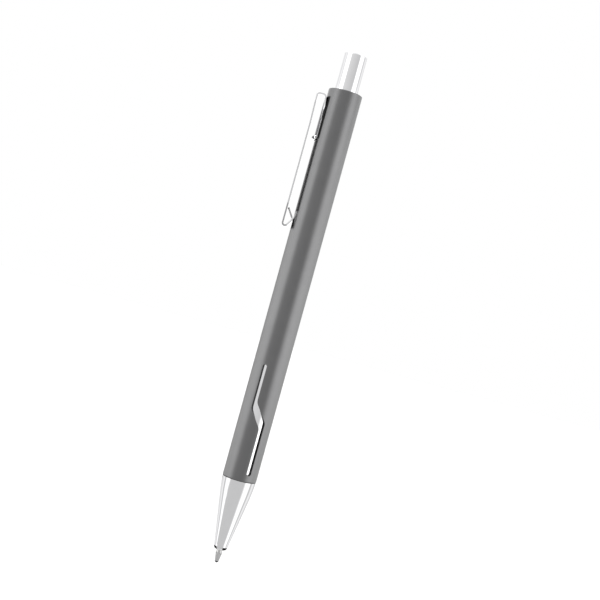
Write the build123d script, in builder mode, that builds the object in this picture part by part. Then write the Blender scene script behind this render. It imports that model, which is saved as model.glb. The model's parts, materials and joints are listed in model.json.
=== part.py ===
"""A retractable ballpoint pen: metal barrel with a zigzag slot, chrome nose, clip and push button.

Millimetres. The pen stands along +Z with the writing ball's lowest point at the origin. The clip is
on the -X side and the slot faces -Y. The pen is drawn in its writing position, point out.
"""

from build123d import *

import os
from math import cos, degrees, radians, sin, tan

os.makedirs("parts", exist_ok=True)

# ---------------------------------------------------------------- driving dimensions
FIT = 0.02  # radial gap of a pressed or still fit
RUN = 0.06  # radial gap of a sliding fit
CLEAR = 1.0  # how far a cutting shape runs past what it cuts

BARREL_R = 4.75
BARREL_BORE_R = 4.15
BARREL_BOTTOM = 23.9
BARREL_TOP = 133.8
BARREL_EDGE = 0.25

NOSE_MOUTH = 3.85  # height of the nose cone's open end
NOSE_TOP_R = 4.72
NOSE_HOLE_R = 1.3
SPIGOT_R = 3.42  # the plain core that stands for the nose's screw thread
SPIGOT_TOP = 33.0
THREAD_GAP = 0.03  # radial gap between that core and its bore

LINER_BOTTOM = 24.0
LINER_TOP = 60.0

REFILL_R = 2.9
REFILL_WALL = 0.25
REFILL_TAIL = 98.0  # overall refill length, a standard 98 mm metal refill
SHOULDER = 18.5  # height of the refill shoulder that the spring pushes on

TRAVEL = 5.5  # how far the point draws back
OVERTRAVEL = 1.5  # how far past the writing position the button can be pressed

BUTTON_R = 3.3
BUTTON_TOP = 144.6
BUTTON_WALL = 0.4

STRIP = 0.45  # thickness of the clip's spring strip
STRIP_W = 4.0
CLIP_TOP = 131.85
CLIP_OUT = 7.585  # distance of the clip's outer face from the pen's axis, at the top
CLIP_STEP = 0.16  # how much nearer the outer face runs below the arm's shallow bend


def ring(z, height, outer, inner):
    """A plain tube or washer standing at height z, added to the part being built."""
    with BuildSketch(Plane.XY.offset(z)) as section:
        Circle(outer)
        Circle(inner, mode=Mode.SUBTRACT)
    extrude(section.sketch, amount=height)


def turned(points):
    """A solid turned about the pen's axis from a closed outline of (radius, height) points."""
    with BuildSketch(Plane.XZ) as section:
        with BuildLine():
            Polyline(*points, close=True)
        make_face()
    revolve(section.sketch, axis=Axis.Z)


# ---------------------------------------------------------------- barrel
# The slot is drawn flat, as it would unroll from the barrel: across is arc length from the -Y line.
SLOT_TOP, SLOT_BOTTOM = 56.3, 25.8
UPPER_LEG = (-1.98, -0.85)
LOWER_LEG = (1.66, 2.97)
SLOT_JOG = (45.8, 43.8, 39.0, 40.7)  # heights of the four bends
SLOT_BEND_R = (2.7, 2.2, 2.5, 2.0)
SLOT_END_R = 0.56
SLOT_MID = (SLOT_TOP + SLOT_BOTTOM) / 2
WALL = BARREL_R - BARREL_BORE_R

LUG_W, LUG_H, LUG_Z = 1.8, 2.4, 122.8  # the clip's lug and the barrel window that it goes through
LUG_GAP = 0.1

with BuildSketch() as slot_outline:
    with BuildLine():
        FilletPolyline(
            (UPPER_LEG[0], SLOT_TOP - SLOT_MID),
            (UPPER_LEG[1], SLOT_TOP - SLOT_MID),
            (UPPER_LEG[1], SLOT_JOG[0] - SLOT_MID),
            (LOWER_LEG[1], SLOT_JOG[3] - SLOT_MID),
            (LOWER_LEG[1], SLOT_BOTTOM - SLOT_MID),
            (LOWER_LEG[0], SLOT_BOTTOM - SLOT_MID),
            (LOWER_LEG[0], SLOT_JOG[2] - SLOT_MID),
            (UPPER_LEG[0], SLOT_JOG[1] - SLOT_MID),
            radius=(
                SLOT_END_R, SLOT_END_R, SLOT_BEND_R[0], SLOT_BEND_R[3],
                SLOT_END_R, SLOT_END_R, SLOT_BEND_R[2], SLOT_BEND_R[1],
            ),
            close=True,
        )
    make_face()

with BuildPart() as barrel:
    ring(BARREL_BOTTOM, BARREL_TOP - BARREL_BOTTOM, BARREL_R, BARREL_BORE_R)
    rims = barrel.edges().filter_by(GeomType.CIRCLE).group_by(SortBy.RADIUS)[-1]
    fillet(rims, radius=BARREL_EDGE)
    skin = barrel.faces().filter_by(GeomType.CYLINDER).sort_by(SortBy.RADIUS)[-1]
    front = Location(Plane((0, -BARREL_R, SLOT_MID), x_dir=(1, 0, 0), z_dir=(0, -1, 0)))
    slot_skin = skin.wrap(slot_outline.sketch.face(), front, tolerance=0.02)
    thicken(slot_skin, amount=WALL + CLEAR, normal_override=(0, 1, 0), mode=Mode.SUBTRACT)
    with BuildSketch(Plane.YZ.offset(-BARREL_R - CLEAR)):
        with Locations((0, LUG_Z)):
            Rectangle(LUG_W + 2 * LUG_GAP, LUG_H + 2 * LUG_GAP)
    extrude(amount=WALL + 2 * CLEAR, mode=Mode.SUBTRACT)
barrel.part.label = "barrel"
export_step(barrel.part, "parts/barrel.step")

# ---------------------------------------------------------------- slot liner
# A plated sleeve pressed into the lower barrel. It shows through the slot and takes the nose cone.
LINER_CHAMFER = 0.2

with BuildPart() as slot_liner:
    ring(LINER_BOTTOM, LINER_TOP - LINER_BOTTOM, BARREL_BORE_R - FIT, SPIGOT_R + THREAD_GAP)
    ends = slot_liner.edges().filter_by(GeomType.CIRCLE).group_by(SortBy.RADIUS)[0]
    chamfer(ends, length=LINER_CHAMFER)
slot_liner.part.label = "slot_liner"
export_step(slot_liner.part, "parts/slot_liner.step")

# ---------------------------------------------------------------- nose cone
# Outside: a straight cone that swells into an arc under the barrel. Inside: a hole for the point, a
# seat for the spring, a pocket for its coils and a bore for the refill.
CONE_TOP = (4.10, 18.2)  # radius and height where the straight cone meets the arc
CONE_SLOPE = 0.1643  # radius gained per mm of height
SPRING_SEAT = 12.5
SPRING_POCKET_R = 2.45
POCKET_TOP = 16.6
FUNNEL_LOW = 10.0  # height where the point's hole starts to widen towards the seat
FUNNEL_R = NOSE_HOLE_R + 0.35
MOUTH_EDGE = 0.34
SPIGOT_CHAMFER = 0.15
REFILL_GAP = 0.12
nose_mouth_r = CONE_TOP[0] - CONE_SLOPE * (CONE_TOP[1] - NOSE_MOUTH)
refill_bore_r = REFILL_R + REFILL_GAP

with BuildPart() as nose_cone:
    with BuildSketch(Plane.XZ):
        with BuildLine():
            Line((NOSE_HOLE_R, NOSE_MOUTH), (nose_mouth_r, NOSE_MOUTH))
            Line((nose_mouth_r, NOSE_MOUTH), CONE_TOP)
            TangentArc(CONE_TOP, (NOSE_TOP_R, BARREL_BOTTOM - FIT), tangent=(CONE_SLOPE, 1))
            Polyline(
                (NOSE_TOP_R, BARREL_BOTTOM - FIT),
                (SPIGOT_R, BARREL_BOTTOM - FIT),
                (SPIGOT_R, SPIGOT_TOP),
                (refill_bore_r, SPIGOT_TOP),
                (refill_bore_r, POCKET_TOP),
                (SPRING_POCKET_R, POCKET_TOP),
                (SPRING_POCKET_R, SPRING_SEAT),
                (FUNNEL_R, SPRING_SEAT),
                (NOSE_HOLE_R, FUNNEL_LOW),
                (NOSE_HOLE_R, NOSE_MOUTH),
            )
        make_face()
    revolve(axis=Axis.Z)
    mouth = nose_cone.edges().filter_by(GeomType.CIRCLE).group_by(Axis.Z)[0]
    fillet(mouth.sort_by(SortBy.RADIUS)[-1], radius=MOUTH_EDGE)
    top_edge = nose_cone.edges().filter_by(GeomType.CIRCLE).group_by(Axis.Z)[-1]
    chamfer(top_edge.sort_by(SortBy.RADIUS)[-1], length=SPIGOT_CHAMFER)
nose_cone.part.label = "nose_cone"
export_step(nose_cone.part, "parts/nose_cone.step")

# ---------------------------------------------------------------- refill
BALL_R = 0.4
SOCKET_R = BALL_R + FIT
LIP_Z, LIP_WALL = 0.28, 0.06  # the crimped lip that keeps the ball in
SOCKET_TOP, SOCKET_ROOF = 0.78, 0.98
TIP_CONE_R, TIP_CONE_TOP = 0.9, 2.95
NECK_R, NECK_LOW = 0.8, 2.98
INK_HOLE_R = 0.15
TIP_TOP = 10.0
NEEDLE_R, NEEDLE_BOTTOM = 1.2, 4.0
NEEDLE_END_R, NEEDLE_FULL = 1.0, 4.3  # the needle's tapered end, and the height where it is full
FRONT_BORE_R = 0.6
FLANGE_CHAMFER = 0.3
FLANGE_TOP = 19.3
PLUG_TOP = 23.0
tube_inner_r = REFILL_R - REFILL_WALL
TAIL_SHOULDER = 94.0
INK_TOP = 72.0
FOLLOWER_TOP = 76.0

with BuildPart() as writing_ball:
    with Locations((0, 0, BALL_R)):
        Sphere(BALL_R)
writing_ball.part.label = "writing_ball"
export_step(writing_ball.part, "parts/writing_ball.step")

with BuildPart() as writing_tip:
    turned(
        [
            (SOCKET_R, LIP_Z),
            (SOCKET_R + LIP_WALL, LIP_Z),
            (TIP_CONE_R, TIP_CONE_TOP),
            (NECK_R, NECK_LOW),
            (NECK_R, TIP_TOP),
            (INK_HOLE_R, TIP_TOP),
            (INK_HOLE_R, SOCKET_ROOF),
            (SOCKET_R, SOCKET_TOP),
        ]
    )
writing_tip.part.label = "writing_tip"
export_step(writing_tip.part, "parts/writing_tip.step")

with BuildPart() as refill_front:
    turned(
        [
            (NECK_R + FIT, NEEDLE_BOTTOM),
            (NEEDLE_END_R, NEEDLE_BOTTOM),
            (NEEDLE_R, NEEDLE_FULL),
            (NEEDLE_R, SHOULDER),
            (REFILL_R, SHOULDER),
            (REFILL_R, FLANGE_TOP),
            (tube_inner_r - FIT, FLANGE_TOP),
            (tube_inner_r - FIT, PLUG_TOP),
            (FRONT_BORE_R, PLUG_TOP),
            (FRONT_BORE_R, TIP_TOP + FIT),
            (NECK_R + FIT, TIP_TOP + FIT),
        ]
    )
    circles = refill_front.edges().filter_by(GeomType.CIRCLE)
    shoulder_edges = circles.filter_by_position(Axis.Z, SHOULDER, SHOULDER)
    chamfer(shoulder_edges.sort_by(SortBy.RADIUS)[-1], length=FLANGE_CHAMFER)
refill_front.part.label = "refill_front"
export_step(refill_front.part, "parts/refill_front.step")

with BuildPart() as refill_tube:
    ring(FLANGE_TOP + FIT, TAIL_SHOULDER - FLANGE_TOP - 2 * FIT, REFILL_R, tube_inner_r)
refill_tube.part.label = "refill_tube"
export_step(refill_tube.part, "parts/refill_tube.step")

with BuildPart() as ink:
    with BuildSketch(Plane.XY.offset(PLUG_TOP + FIT)):
        Circle(tube_inner_r - FIT)
    extrude(amount=INK_TOP - PLUG_TOP - FIT)
ink.part.label = "ink"
export_step(ink.part, "parts/ink.step")

with BuildPart() as ink_follower:
    with BuildSketch(Plane.XY.offset(INK_TOP + FIT)):
        Circle(tube_inner_r - FIT)
    extrude(amount=FOLLOWER_TOP - INK_TOP - FIT)
ink_follower.part.label = "ink_follower"
export_step(ink_follower.part, "parts/ink_follower.step")

TAIL_R = 2.75
TAIL_PLUG_BOTTOM = 90.5
VENT_R = 0.6
TAIL_NOTCHES = 4
NOTCH_W, NOTCH_DEPTH = 0.9, 1.6

with BuildPart() as refill_tail:
    turned(
        [
            (VENT_R, TAIL_PLUG_BOTTOM),
            (tube_inner_r - FIT, TAIL_PLUG_BOTTOM),
            (tube_inner_r - FIT, TAIL_SHOULDER),
            (TAIL_R, TAIL_SHOULDER),
            (TAIL_R, REFILL_TAIL),
            (VENT_R, REFILL_TAIL),
        ]
    )
    with BuildSketch(Plane.XY.offset(REFILL_TAIL)):
        with PolarLocations(TAIL_R, TAIL_NOTCHES):
            Rectangle(TAIL_R, NOTCH_W)
    extrude(amount=-NOTCH_DEPTH, mode=Mode.SUBTRACT)
refill_tail.part.label = "refill_tail"
export_step(refill_tail.part, "parts/refill_tail.step")

# ---------------------------------------------------------------- return spring
WIRE_R = 0.2
SPRING_R = 1.98  # coil radius at the middle of the wire
SPRING_TURNS = 6
SPRING_GAP = 0.03
spring_low = SPRING_SEAT + WIRE_R + SPRING_GAP
spring_high = SHOULDER - WIRE_R - SPRING_GAP

with BuildPart() as return_spring:
    with BuildLine():
        coil = Helix(
            pitch=(spring_high - spring_low) / SPRING_TURNS,
            height=spring_high - spring_low,
            radius=SPRING_R,
            center=(0, 0, spring_low),
        )
    with BuildSketch(Plane(origin=coil @ 0, z_dir=coil % 0)):
        Circle(WIRE_R)
    sweep(is_frenet=True)
return_spring.part.label = "return_spring"
export_step(return_spring.part, "parts/return_spring.step")

# ---------------------------------------------------------------- click mechanism
# The rotor turns an eighth of a turn each time the point goes in or out. Its splines and the ribs'
# lower ends slant along the same helix, so they pass each other without touching.
RIBS = 4
HALF_RIB = 9.0  # half the angle that a rib or spline fills
TURN = 45.0  # rotor turn over one travel
RIB_IN, RIB_OUT = 2.95, 3.4
SPLINE_OUT = 3.32
CORE_R = 2.6
ROOT = 0.1  # how deep a rib or spline is sunk into the wall that carries it
helix_rise = TRAVEL / TURN * HALF_RIB  # rise of the slanted end from a rib's middle to its side
slant = helix_rise / (RIB_IN * sin(radians(HALF_RIB)))

SPLINE_LOW, SPLINE_MID = 101.2, 103.8
LATCH_GAP = 0.3  # how far past the ribs' ends the splines stand with the point out
RIB_MID = SPLINE_MID + LATCH_GAP
RIB_TOP = 121.0
CROWN_TEETH = 8
TOOTH = 0.8
CROWN_TOP = 106.1  # tips of the rotor's teeth
CROWN_GAP = 0.15
PLUNGER_BOTTOM = CROWN_TOP + CROWN_GAP  # tips of the plunger's teeth
ROTOR_LOW = REFILL_TAIL + 0.05
ROTOR_CHAMFER = 0.3
STEM_R, STEM_TOP = 1.2, 111.0
STEM_ROOT = 2.0  # how far the stem starts below the crown's tips
STEM_GAP = 0.15
GUIDE_LOW, GUIDE_HIGH = 108.6, 114.0

SLEEVE_BOTTOM, SLEEVE_TOP = 99.0, 130.5
SLEEVE_R, SLEEVE_BORE_R = BARREL_BORE_R - FIT, 3.75
LIP_R, LIP_H = 3.1, 0.5  # the sleeve's turned-in lower end, which the housing rests on
HOUSING_LOW, HOUSING_TOP = SLEEVE_BOTTOM + LIP_H + FIT, 121.5
BUSH_LOW, BUSH_TOP = SLEEVE_TOP + 0.1, BARREL_TOP - 0.3
BUSH_CHAMFER = 0.15


def key(inner, outer, low, high, low_slant=0.0, high_slant=0.0):
    """A rib or spline on the +Y side, its ends level or rising towards +X by a slant."""
    half_w = outer * sin(radians(HALF_RIB))
    with BuildPart(mode=Mode.PRIVATE) as block:
        with BuildSketch(Plane.XZ.offset(-outer - CLEAR)) as side:
            with BuildLine():
                Polyline(
                    (-half_w, low - low_slant * half_w),
                    (half_w, low + low_slant * half_w),
                    (half_w, high + high_slant * half_w),
                    (-half_w, high - high_slant * half_w),
                    close=True,
                )
            make_face()
        extrude(side.sketch, amount=outer + CLEAR)
        with BuildSketch(Plane.XY.offset(low - 2 * CLEAR)) as band:
            Circle(outer)
            Circle(inner, mode=Mode.SUBTRACT)
        extrude(band.sketch, amount=high - low + 4 * CLEAR, mode=Mode.INTERSECT)
    return block.part


def tooth_gap(root, tips):
    """A V-shaped gap between two crown teeth, running out along +X."""
    half_w = CORE_R * tan(radians(180 / CROWN_TEETH))
    with BuildPart(mode=Mode.PRIVATE) as gap:
        with BuildSketch(Plane.YZ) as vee:
            with BuildLine():
                Polyline((0, root), (half_w, tips), (-half_w, tips), close=True)
            make_face()
        extrude(vee.sketch, amount=CORE_R + CLEAR)
    return gap.part


with BuildPart() as rotor:
    turned(
        [
            (0, ROTOR_LOW),
            (CORE_R - ROTOR_CHAMFER, ROTOR_LOW),
            (CORE_R, ROTOR_LOW + ROTOR_CHAMFER),
            (CORE_R, CROWN_TOP),
            (0, CROWN_TOP),
        ]
    )
    with PolarLocations(0, CROWN_TEETH):
        add(tooth_gap(CROWN_TOP - TOOTH, CROWN_TOP), mode=Mode.SUBTRACT)
    with BuildSketch(Plane.XY.offset(CROWN_TOP - STEM_ROOT)):
        Circle(STEM_R)
    extrude(amount=STEM_TOP - CROWN_TOP + STEM_ROOT)
    with PolarLocations(0, RIBS):
        add(key(CORE_R - ROOT, SPLINE_OUT, SPLINE_LOW, SPLINE_MID, high_slant=slant))
rotor.part.label = "rotor"
export_step(rotor.part, "parts/rotor.step")

with BuildPart() as cam_housing:
    ring(HOUSING_LOW, HOUSING_TOP - HOUSING_LOW, SLEEVE_BORE_R - FIT, RIB_OUT)
    with PolarLocations(0, RIBS):
        add(key(RIB_IN, RIB_OUT + ROOT, RIB_MID, RIB_TOP, low_slant=slant))
cam_housing.part.label = "cam_housing"
export_step(cam_housing.part, "parts/cam_housing.step")

with BuildPart() as mechanism_sleeve:
    ring(SLEEVE_BOTTOM, SLEEVE_TOP - SLEEVE_BOTTOM, SLEEVE_R, SLEEVE_BORE_R)
    ring(SLEEVE_BOTTOM, LIP_H, SLEEVE_R, LIP_R)
mechanism_sleeve.part.label = "mechanism_sleeve"
export_step(mechanism_sleeve.part, "parts/mechanism_sleeve.step")

with BuildPart() as guide_bush:
    ring(BUSH_LOW, BUSH_TOP - BUSH_LOW, SLEEVE_R, BUTTON_R + RUN)
    chamfer(guide_bush.edges().filter_by(GeomType.CIRCLE).group_by(Axis.Z)[-1], length=BUSH_CHAMFER)
guide_bush.part.label = "guide_bush"
export_step(guide_bush.part, "parts/guide_bush.step")

# ---------------------------------------------------------------- push button and plunger
FLANGE_R, FLANGE_LOW, FLANGE_HIGH = 3.65, 124.0, 125.0
CAP_ROOF = 1.0
BUTTON_EDGE = 0.45
PLUNGER_STEP, PLUNGER_WIDE = 126.0, 128.0  # between these heights the plunger widens to fill the cap
cap_bore_r = BUTTON_R - BUTTON_WALL

with BuildPart() as push_button:
    turned(
        [
            (cap_bore_r, FLANGE_LOW),
            (FLANGE_R, FLANGE_LOW),
            (FLANGE_R, FLANGE_HIGH),
            (BUTTON_R, FLANGE_HIGH),
            (BUTTON_R, BUTTON_TOP),
            (0, BUTTON_TOP),
            (0, BUTTON_TOP - CAP_ROOF),
            (cap_bore_r, BUTTON_TOP - CAP_ROOF),
        ]
    )
    fillet(push_button.edges().filter_by(GeomType.CIRCLE).group_by(Axis.Z)[-1], radius=BUTTON_EDGE)
push_button.part.label = "push_button"
export_step(push_button.part, "parts/push_button.step")

with BuildPart() as plunger:
    turned(
        [
            (STEM_R + STEM_GAP, PLUNGER_BOTTOM),
            (CORE_R, PLUNGER_BOTTOM),
            (CORE_R, PLUNGER_STEP),
            (cap_bore_r - FIT, PLUNGER_WIDE),
            (cap_bore_r - FIT, BUTTON_TOP - CAP_ROOF - FIT),
            (STEM_R + STEM_GAP, BUTTON_TOP - CAP_ROOF - FIT),
        ]
    )
    with PolarLocations(0, CROWN_TEETH):
        add(tooth_gap(PLUNGER_BOTTOM + TOOTH, PLUNGER_BOTTOM), mode=Mode.SUBTRACT)
    with PolarLocations(0, RIBS, start_angle=TURN):
        add(key(CORE_R - ROOT, SPLINE_OUT, GUIDE_LOW, GUIDE_HIGH))
plunger.part.label = "plunger"
export_step(plunger.part, "parts/plunger.step")

# ---------------------------------------------------------------- clip
# One bent spring strip, drawn as its centre line in the XZ plane. It is split at the top of the bend,
# where the arm flexes: the arm ends in a round knuckle and the base in a socket round it. Below the bend
# the strip hugs the barrel as a saddle, is wider lower down, and ends in a curl.
STRIP_BEND_R = 0.72
PIVOT_X = -6.3
KNUCKLE_GAP = 0.03
HUG_TOP = 129.5  # below this height the strip curves round the barrel
STEP_HIGH, STEP_LOW = 129.0, 123.0  # the arm bends in by CLIP_STEP between these heights
STEP_BEND_R = 30.0
SADDLE_W, SADDLE_LOW_W = 4.3, 5.4  # arc width of the saddle above and below its shoulder
SADDLE_LOW, SADDLE_HIGH = 119.6, 125.3
CURL_R, CURL_HOLE_R = 0.5, 0.2
HOOK_TIP = (-6.7, 99.15)
HOOK_BELLY = (-4.84, 96.35)  # corner of the centre line where the hook meets the barrel
HOOK_LOW = 92.6
HOOK_BEND_R, BELLY_BEND_R = 0.65, 0.7

strip_top = CLIP_TOP - STRIP / 2
arm_x = -(CLIP_OUT - STRIP / 2)
leg_x = -(BARREL_R + FIT + STRIP / 2)


def saddle(width, low, high, curl_r=0.0):
    """A length of strip that hugs the barrel, with a curl along its lower end if curl_r is given."""
    half = degrees(width / 2 / -leg_x)
    start = radians(180 - half)
    edge = Plane(origin=(0, 0, 0), x_dir=(cos(start), sin(start), 0), z_dir=(sin(start), -cos(start), 0))
    with BuildSketch(edge) as section:
        with Locations((-leg_x, (low + high) / 2)):
            Rectangle(STRIP, high - low)
        if curl_r:
            with Locations((BARREL_R + FIT + curl_r, low)):
                Circle(curl_r)
                Circle(CURL_HOLE_R, mode=Mode.SUBTRACT)
    revolve(section.sketch, axis=Axis.Z, revolution_arc=2 * half)


with BuildPart() as clip_arm:
    with BuildSketch(Plane.XZ):
        with BuildLine():
            FilletPolyline(
                (PIVOT_X, strip_top),
                (arm_x, strip_top),
                (arm_x, STEP_HIGH),
                (arm_x + CLIP_STEP, STEP_LOW),
                (arm_x + CLIP_STEP, HOOK_LOW),
                HOOK_BELLY,
                HOOK_TIP,
                radius=(STRIP_BEND_R, STEP_BEND_R, STEP_BEND_R, HOOK_BEND_R, BELLY_BEND_R),
            )
        trace(line_width=STRIP)
        with Locations((PIVOT_X, strip_top)):
            Circle(STRIP / 2)
    extrude(amount=STRIP_W / 2, both=True)
clip_arm.part.label = "clip_arm"
export_step(clip_arm.part, "parts/clip_arm.step")

with BuildPart() as clip_base:
    with BuildSketch(Plane.XZ):
        with BuildLine():
            FilletPolyline(
                (PIVOT_X, strip_top),
                (leg_x, strip_top),
                (leg_x, HUG_TOP),
                radius=STRIP_BEND_R,
            )
        trace(line_width=STRIP)
        with Locations((PIVOT_X, strip_top)):
            Circle(STRIP / 2 + KNUCKLE_GAP, mode=Mode.SUBTRACT)
    extrude(amount=STRIP_W / 2, both=True)
    saddle(SADDLE_W, SADDLE_HIGH, HUG_TOP)
    saddle(SADDLE_LOW_W, SADDLE_LOW, SADDLE_HIGH, CURL_R)
    with BuildSketch(Plane.YZ.offset(leg_x)):
        with Locations((0, LUG_Z)):
            Rectangle(LUG_W, LUG_H)
    extrude(amount=-leg_x - BARREL_BORE_R - FIT)
clip_base.part.label = "clip_base"
export_step(clip_base.part, "parts/clip_base.step")
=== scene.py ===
"""The looks of a retractable ballpoint pen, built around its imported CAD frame. Metres throughout."""
import json
import math

import bpy
from mathutils import Matrix, Vector
from mathutils.geometry import delaunay_2d_cdt


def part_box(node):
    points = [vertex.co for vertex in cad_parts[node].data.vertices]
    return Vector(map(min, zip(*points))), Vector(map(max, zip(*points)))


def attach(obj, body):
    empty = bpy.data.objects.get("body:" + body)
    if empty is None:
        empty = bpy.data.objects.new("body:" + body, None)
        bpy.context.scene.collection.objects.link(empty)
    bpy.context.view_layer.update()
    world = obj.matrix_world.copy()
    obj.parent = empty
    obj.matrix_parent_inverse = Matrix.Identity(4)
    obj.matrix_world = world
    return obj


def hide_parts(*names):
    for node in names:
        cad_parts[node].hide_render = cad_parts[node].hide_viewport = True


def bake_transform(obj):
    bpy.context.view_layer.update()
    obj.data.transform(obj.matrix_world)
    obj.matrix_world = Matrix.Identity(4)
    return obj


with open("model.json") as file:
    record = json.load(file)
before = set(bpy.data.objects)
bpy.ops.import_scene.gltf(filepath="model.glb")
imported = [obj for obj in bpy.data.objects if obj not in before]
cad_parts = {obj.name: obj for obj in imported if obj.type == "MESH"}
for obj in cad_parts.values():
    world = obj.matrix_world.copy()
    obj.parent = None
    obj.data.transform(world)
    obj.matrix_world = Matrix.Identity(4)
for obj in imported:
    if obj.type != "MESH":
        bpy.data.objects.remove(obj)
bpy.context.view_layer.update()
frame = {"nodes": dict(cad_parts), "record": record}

MM = 0.001
TAU = 2 * math.pi
AROUND = 192  # facets round a turned piece
ARC_STEP = math.radians(9)  # longest step along a rounded corner
DARKENING_ATTRIBUTE = "painted_shade_and_darkening"  # mesh attribute: how far a face's plating is darkened, 0 to 1, on the clip partly as painted shade


def radius(node):
    """Outer radius of a turned CAD node, from its box."""
    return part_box(node)[1][1]


def low(node):
    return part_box(node)[0][2]


def high(node):
    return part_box(node)[1][2]


# ---------------------------------------------------------------- mesh making
class Skin:
    """Points and faces of one mesh, with a shading normal for each corner of each face."""

    def __init__(self):
        self.points = []
        self.faces = []
        self.normals = []

    def point(self, place):
        self.points.append(tuple(place))
        return len(self.points) - 1

    def face(self, corners, normals):
        """Adds a face, dropping corners that are the same point, and turns it to suit its normals."""
        kept = [(c, n) for i, (c, n) in enumerate(zip(corners, normals)) if c != corners[i - 1]]
        if len(kept) < 3:
            return
        places = [Vector(self.points[c]) for c, _ in kept]
        out = sum((Vector(n) for _, n in kept), Vector())
        turn = Vector()
        for a, b in zip(places[1:-1], places[2:]):
            turn += (a - places[0]).cross(b - places[0])
        if turn.dot(out) < 0:
            kept.reverse()
        self.faces.append([c for c, _ in kept])
        self.normals.extend(tuple(n) for _, n in kept)

    def bridge(self, loop_a, normals_a, loop_b, normals_b, closed=True):
        """Joins two loops of the same number of points with a band of faces."""
        count = len(loop_a)
        for i in range(count if closed else count - 1):
            j = (i + 1) % count
            self.face(
                (loop_a[i], loop_a[j], loop_b[j], loop_b[i]),
                (normals_a[i], normals_a[j], normals_b[j], normals_b[i]),
            )

    def build(self, name, material):
        mesh = bpy.data.meshes.new(name)
        mesh.from_pydata(self.points, [], self.faces)
        mesh.polygons.foreach_set("use_smooth", [True] * len(mesh.polygons))
        mesh.normals_split_custom_set(self.normals)
        mesh.materials.append(material)
        piece = bpy.data.objects.new(name, mesh)
        bpy.context.scene.collection.objects.link(piece)
        return piece


def rounded(corners, closed=True):
    """An outline with its corners rounded.

    corners are (x, y) or (x, y, radius). Each point of the result is (x, y, normal before, normal
    after), where the normals point to the right of the way the outline runs.
    """
    count = len(corners)
    result = []
    for i, corner in enumerate(corners):
        here = Vector(corner[:2])
        bend = corner[2] if len(corner) > 2 else 0.0
        before = Vector(corners[i - 1][:2]) if closed or i else None
        after = Vector(corners[(i + 1) % count][:2]) if closed or i < count - 1 else None
        into = (here - before).normalized() if before is not None else None
        out = (after - here).normalized() if after is not None else None
        into, out = into or out, out or into
        side_in, side_out = Vector((into.y, -into.x)), Vector((out.y, -out.x))
        turn = math.atan2(into.x * out.y - into.y * out.x, into.dot(out))
        if not bend or abs(turn) < 1e-4:
            result.append((here.x, here.y, side_in, side_out))
            continue
        start = here - into * (bend * math.tan(abs(turn) / 2))
        centre = start - side_in * math.copysign(bend, turn)
        steps = max(3, math.ceil(abs(turn) / ARC_STEP))
        for k in range(steps + 1):
            side = Matrix.Rotation(turn * k / steps, 2) @ side_in
            place = centre + side * math.copysign(bend, turn)
            result.append((place.x, place.y, side, side))
    return result


def polar(r, angle, z):
    """A point at an angle counted from -Y towards +X."""
    return Vector((r * math.sin(angle), -r * math.cos(angle), z))


def normals_round(side, angles):
    """The normals round a loop, from the (outward, upward) normal that they share."""
    return [Vector((side.x * math.sin(a), -side.x * math.cos(a), side.y)) for a in angles]


def turned(skin, outline, around=AROUND, closed=True):
    """Turns an outline of (radius, height, ...) points about the pen's axis.

    The outline runs up the outside and down the inside, so that its normals point out of the solid.
    """
    points = rounded(outline, closed)
    angles = [TAU * k / around for k in range(around)]

    def loop(r, z):
        if r < 1e-7:
            return [skin.point((0, 0, z))] * around
        return [skin.point(polar(r, a, z)) for a in angles]

    loops = [loop(p[0], p[1]) for p in points]
    last = len(points) if closed else len(points) - 1
    for i in range(last):
        j = (i + 1) % len(points)
        if points[i][0] < 1e-7 and points[j][0] < 1e-7:
            continue
        normals_a, normals_b = normals_round(points[i][3], angles), normals_round(points[j][2], angles)
        skin.bridge(loops[i], normals_a, loops[j], normals_b)
    return skin


def thread(skin, r_root, depth, z_low, z_high, pitch, outward=1, around=96, rows_per_pitch=10):
    """A screw thread's helical surface: a rippled tube that fades out at both ends."""
    rows = round((z_high - z_low) / pitch * rows_per_pitch)

    def r_at(angle, z):
        wave = (z / pitch - angle / TAU) % 1.0
        ridge = max(0.0, 1 - abs(wave - 0.5) * 2.6)
        fade = min(1.0, (z - z_low) / pitch, (z_high - z) / pitch)
        return r_root + outward * depth * ridge * max(0.0, fade)

    grid, sides = [], []
    step = 1e-6
    for row in range(rows + 1):
        z = z_low + (z_high - z_low) * row / rows
        points, normals = [], []
        for k in range(around):
            a = TAU * k / around
            r = r_at(a, z)
            slope_z = (r_at(a, z + step) - r_at(a, z - step)) / (2 * step)
            points.append(skin.point(polar(r, a, z)))
            normals.append((Vector((math.sin(a), -math.cos(a), -slope_z)) * outward).normalized())
        grid.append(points)
        sides.append(normals)
    for row in range(rows):
        skin.bridge(grid[row], sides[row], grid[row + 1], sides[row + 1])


def is_inside(point, loop):
    """Whether a flat point lies inside a closed loop of (x, y) points."""
    x, y = point
    inside = False
    for (x1, y1), (x2, y2) in zip(loop, loop[1:] + loop[:1]):
        if (y1 > y) != (y2 > y) and x < (x2 - x1) * (y - y1) / (y2 - y1) + x1:
            inside = not inside
    return inside


# ---------------------------------------------------------------- materials
def node_maker(tree):
    """A function that adds a node to a tree, with its inputs set to values or linked to sockets."""

    def node(kind, inputs=None, **settings):
        made = tree.nodes.new(kind)
        for key, value in settings.items():
            setattr(made, key, value)
        for key, value in (inputs or {}).items():
            if isinstance(value, bpy.types.NodeSocket):
                tree.links.new(value, made.inputs[key])
            else:
                made.inputs[key].default_value = value
        return made

    return node


def new_material(name):
    """A material with a Principled shader: returns it, its node maker, its shader and a linker to it."""
    material = bpy.data.materials.new(name)
    material.use_nodes = True
    tree = material.node_tree
    shader = tree.nodes["Principled BSDF"]

    def to_shader(socket, value):
        tree.links.new(value, shader.inputs[socket])

    return material, node_maker(tree), shader, to_shader


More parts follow.
